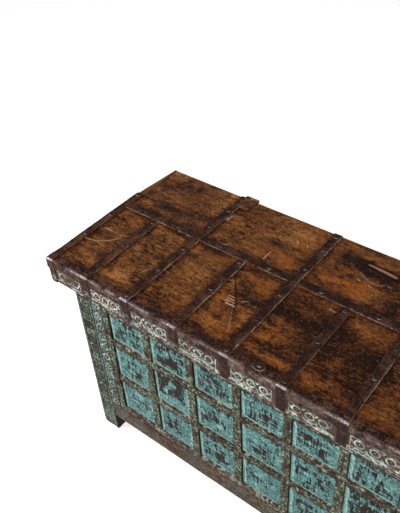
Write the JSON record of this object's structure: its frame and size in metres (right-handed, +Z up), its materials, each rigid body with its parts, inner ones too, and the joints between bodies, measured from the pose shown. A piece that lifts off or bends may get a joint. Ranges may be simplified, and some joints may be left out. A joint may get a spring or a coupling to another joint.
{
  "type": "dowry chest",
  "caption": "Wooden storage chest with a plank lid bound in iron straps, carved painted fascia and corner posts, a grid of raised painted panels on the front and post feet.",
  "frame": {"origin": "centre of the overall length and depth, on the floor plane under the feet", "axes": "+X along the length, towards the chest's right as seen from its front; -Y towards the front; +Z up"},
  "size_m": [1.396, 0.631, 0.8685],
  "materials": {
    "lid_wood": "worn waxed hardwood, blotchy golden to dark brown",
    "fascia_paint": "carved wood with worn cream and turquoise paint",
    "strap_iron": "old forged strap iron, dark brown with rubbed edges",
    "nail_iron": "forged iron nails, rubbed on their crowns",
    "frame_paint": "carved wood with worn grey-green and turquoise paint",
    "strip_paint": "olive paint worn to brown wood",
    "panel_paint": "turquoise paint worn to dark wood",
    "end_paint": "thin grey-turquoise paint on boards",
    "bare_wood": "bare aged boards"
  },
  "bodies": {
    "body": {"back_boards": "bare_wood", "carved_stile_left": "frame_paint", "carved_stile_right": "frame_paint", "cross_strips_lower": "strip_paint", "cross_strips_upper": "strip_paint", "edge_strip_left": "strip_paint", "edge_strip_right": "strip_paint", "end_boards_left": "end_paint", "end_boards_right": "end_paint", "end_bottom_rail_left": "end_paint", "end_bottom_rail_right": "end_paint", "end_stile_left": "end_paint", "end_stile_right": "end_paint", "end_top_rail_left": "end_paint", "end_top_rail_right": "end_paint", "floor_bearers": "bare_wood", "floor_boards": "bare_wood", "front_bottom_rail": "frame_paint", "front_bottom_strip": "strip_paint", "front_top_rail": "frame_paint", "front_top_strip": "strip_paint", "front_wall_boards": "bare_wood", "hinge_leaf_left": "strap_iron", "hinge_leaf_right": "strap_iron", "hinge_pin_left": "nail_iron", "hinge_pin_right": "nail_iron", "leaf_nails": "nail_iron", "muntin_1": "strip_paint", "muntin_2": "strip_paint", "muntin_3": "strip_paint", "muntin_4": "strip_paint", "muntin_5": "strip_paint", "panels_bottom": "panel_paint", "panels_middle": "panel_paint", "panels_top": "panel_paint", "post_back_left": "frame_paint", "post_back_right": "frame_paint", "post_front_left": "frame_paint", "post_front_right": "frame_paint"},
    "lid": {"centre_strap": "strap_iron", "end_strap_left": "strap_iron", "end_strap_right": "strap_iron", "fascia_front": "fascia_paint", "fascia_left": "fascia_paint", "fascia_right": "fascia_paint", "front_binding": "strap_iron", "hinge_strap_left": "strap_iron", "hinge_strap_right": "strap_iron", "lid_batten_centre": "bare_wood", "lid_batten_left": "bare_wood", "lid_batten_right": "bare_wood", "lid_nails": "nail_iron", "lid_plank_front": "lid_wood", "lid_plank_middle": "lid_wood", "lid_plank_rear": "lid_wood", "long_strap": "strap_iron", "short_strap_1": "strap_iron", "short_strap_2": "strap_iron", "short_strap_3": "strap_iron", "short_strap_4": "strap_iron"}
  },
  "joints": [
    {"name": "lid_hinge", "type": "hinge", "parent": "body", "child": "lid", "pos_m": [0, 0.308, 0.8555], "axis": [-1, 0, 0], "range_deg": [0, 100]}
  ]
}
